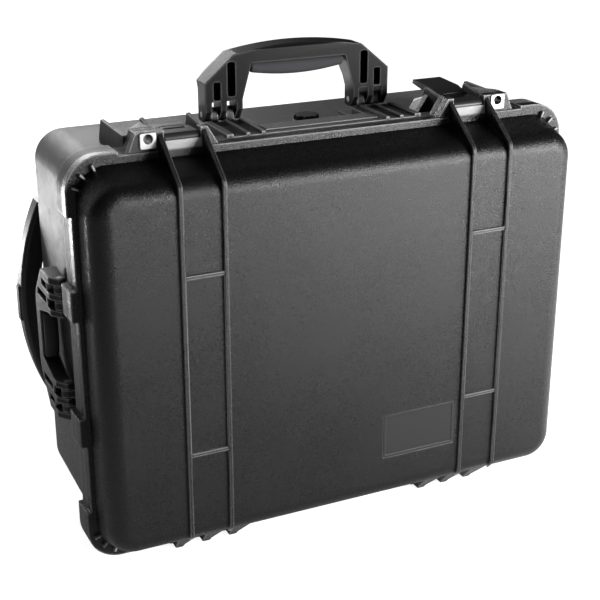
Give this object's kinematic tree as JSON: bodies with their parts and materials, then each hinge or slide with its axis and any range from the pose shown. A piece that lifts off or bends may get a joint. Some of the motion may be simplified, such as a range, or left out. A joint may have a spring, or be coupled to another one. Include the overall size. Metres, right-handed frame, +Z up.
{
  "type": "laptop hard case",
  "caption": "Wheeled hard case for a laptop with a hinged lid, double-throw latches, folding handles, pull-out trolley and a padded inside.",
  "frame": {"origin": "middle of the bounding box's bottom, where the hinge knuckles touch the surface that the case stands on", "axes": "+X to the right along the width, seen from the lid's side; +Y from the lid's face to the back; +Z up, from the hinges to the top handle"},
  "size_m": [0.5505, 0.265, 0.496],
  "materials": {
    "shell_plastic": "fine pebble texture, satin",
    "latch_plastic": "satin",
    "grip_rubber": "soft matte",
    "seal_rubber": "matte",
    "foam": "open-cell foam",
    "label": "smooth, bare",
    "steel": "brushed",
    "tube_metal": "anodised",
    "tyre": "matte"
  },
  "bodies": {
    "base": {"base_shell": "shell_plastic", "base_foam": "foam", "hinge_pins": "steel", "base_lock_plates": "steel", "valve_body": "shell_plastic", "valve_seal": "seal_rubber", "valve_nut": "shell_plastic", "trolley_housing": "shell_plastic", "trolley_sleeves": "tube_metal", "housing_screws": "steel", "top_handle_pins": "steel", "side_handle_pins": "steel", "wheel_axles": "steel"},
    "lid": {"lid_shell": "shell_plastic", "lid_seal": "seal_rubber", "lid_foam": "foam", "label_plate": "label", "lid_lock_plates": "steel", "latch_pins": "steel"},
    "latch_arm_left": {"latch_arm_left": "latch_plastic", "lever_pin_left": "steel"},
    "latch_arm_right": {"latch_arm_right": "latch_plastic", "lever_pin_right": "steel"},
    "latch_lever_left": {"latch_lever_left": "latch_plastic"},
    "latch_lever_right": {"latch_lever_right": "latch_plastic"},
    "top_handle": {"top_handle_frame": "latch_plastic", "top_handle_grip": "grip_rubber"},
    "side_handle": {"side_handle_frame": "latch_plastic", "side_handle_grip": "grip_rubber"},
    "trolley_mid": {"trolley_mid_tubes": "tube_metal"},
    "trolley_inner": {"trolley_inner_tubes": "tube_metal", "trolley_grip": "latch_plastic"},
    "trolley_button": {"trolley_button": "latch_plastic"},
    "valve_knob": {"valve_knob": "latch_plastic"},
    "wheel_top": {"wheel_hub_top": "latch_plastic", "wheel_tyre_top": "tyre", "wheel_bearings_top": "steel"},
    "wheel_bottom": {"wheel_hub_bottom": "latch_plastic", "wheel_tyre_bottom": "tyre", "wheel_bearings_bottom": "steel"}
  },
  "joints": [
    {"name": "lid_hinge", "type": "hinge", "parent": "base", "child": "lid", "pos_m": [0, -0.0735, 0.005], "axis": [1, 0, 0], "range_deg": [0, 100]},
    {"name": "latch_arm_left_pivot", "type": "hinge", "parent": "lid", "child": "latch_arm_left", "pos_m": [-0.155, -0.078, 0.432], "axis": [1, 0, 0], "range_deg": [0, 105]},
    {"name": "latch_arm_right_pivot", "type": "hinge", "parent": "lid", "child": "latch_arm_right", "pos_m": [0.155, -0.078, 0.432], "axis": [1, 0, 0], "range_deg": [0, 105]},
    {"name": "latch_lever_left_pivot", "type": "hinge", "parent": "latch_arm_left", "child": "latch_lever_left", "pos_m": [-0.155, -0.0575, 0.432], "axis": [1, 0, 0], "range_deg": [0, 90]},
    {"name": "latch_lever_right_pivot", "type": "hinge", "parent": "latch_arm_right", "child": "latch_lever_right", "pos_m": [0.155, -0.0575, 0.432], "axis": [1, 0, 0], "range_deg": [-19, 71]},
    {"name": "top_handle_fold", "type": "hinge", "parent": "base", "child": "top_handle", "pos_m": [0, 0.0045, 0.43], "axis": [-1, 0, 0], "range_deg": [0, 90]},
    {"name": "side_handle_fold", "type": "hinge", "parent": "base", "child": "side_handle", "pos_m": [-0.264, -0.0235, 0.217], "axis": [0, 0, 1], "range_deg": [0, 90]},
    {"name": "trolley_mid_slide", "type": "slide", "parent": "base", "child": "trolley_mid", "axis": [-1, 0, 0], "range_m": [0, 0.2]},
    {"name": "trolley_inner_slide", "type": "slide", "parent": "trolley_mid", "child": "trolley_inner", "axis": [-1, 0, 0], "range_m": [0, 0.2]},
    {"name": "trolley_button_press", "type": "slide", "parent": "trolley_inner", "child": "trolley_button", "axis": [1, 0, 0], "range_m": [0, 0.0015], "stiffness_N_per_m": 400, "springref_m": -0.001},
    {"name": "valve_knob_turn", "type": "hinge", "parent": "base", "child": "valve_knob", "pos_m": [0.006, -0.0115, 0.42], "axis": [0, 0, 1], "range_deg": [0, 270]},
    {"name": "wheel_top_spin", "type": "hinge", "parent": "base", "child": "wheel_top", "pos_m": [0.2485, 0.1055, 0.3595], "axis": [0, 0, 1], "continuous": true},
    {"name": "wheel_bottom_spin", "type": "hinge", "parent": "base", "child": "wheel_bottom", "pos_m": [0.2485, 0.1055, 0.0745], "axis": [0, 0, 1], "continuous": true}
  ],
  "couplings": [
    {"joint": "trolley_inner_slide", "follows": "trolley_mid_slide", "ratio": 1}
  ]
}
